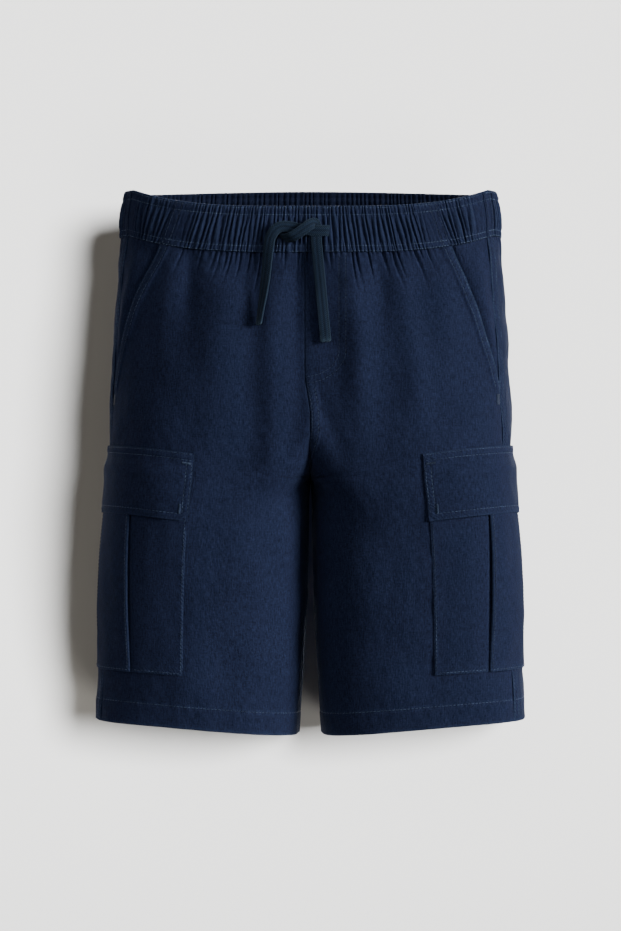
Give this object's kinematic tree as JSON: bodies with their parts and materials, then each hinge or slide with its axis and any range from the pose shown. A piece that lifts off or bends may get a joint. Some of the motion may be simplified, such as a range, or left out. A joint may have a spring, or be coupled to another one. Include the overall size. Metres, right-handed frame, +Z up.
{
  "type": "pull-on cargo shorts",
  "caption": "Knee-length pull-on cargo shorts with a gathered elastic waistband, drawcord, slanted front pockets and flapped side pockets, filled out as if worn.",
  "frame": {"origin": "middle of the waist, half-way down the waistband at the side seams, where the wearer holds the shorts up", "axes": "+X to the wearer's left, -Y to the front, +Z up along the body"},
  "size_m": [0.3562, 0.1685, 0.4546],
  "materials": {
    "navy_twill": "washed cotton twill, matte",
    "flat_cord": "flat braided cotton cord, matte"
  },
  "bodies": {
    "root": {"waistband_front": "navy_twill", "waistband_side_left": "navy_twill", "waistband_side_right": "navy_twill", "waistband_back": "navy_twill", "front_left": "navy_twill", "front_right": "navy_twill", "back_left": "navy_twill", "back_right": "navy_twill", "hip_facing_left": "navy_twill", "hip_facing_right": "navy_twill", "cargo_pocket_left": "navy_twill", "cargo_pocket_right": "navy_twill", "cargo_flap_left": "navy_twill", "cargo_flap_right": "navy_twill", "drawcord_knot": "flat_cord", "drawcord_tail_left": "flat_cord", "drawcord_tail_right": "flat_cord"}
  },
  "joints": []
}
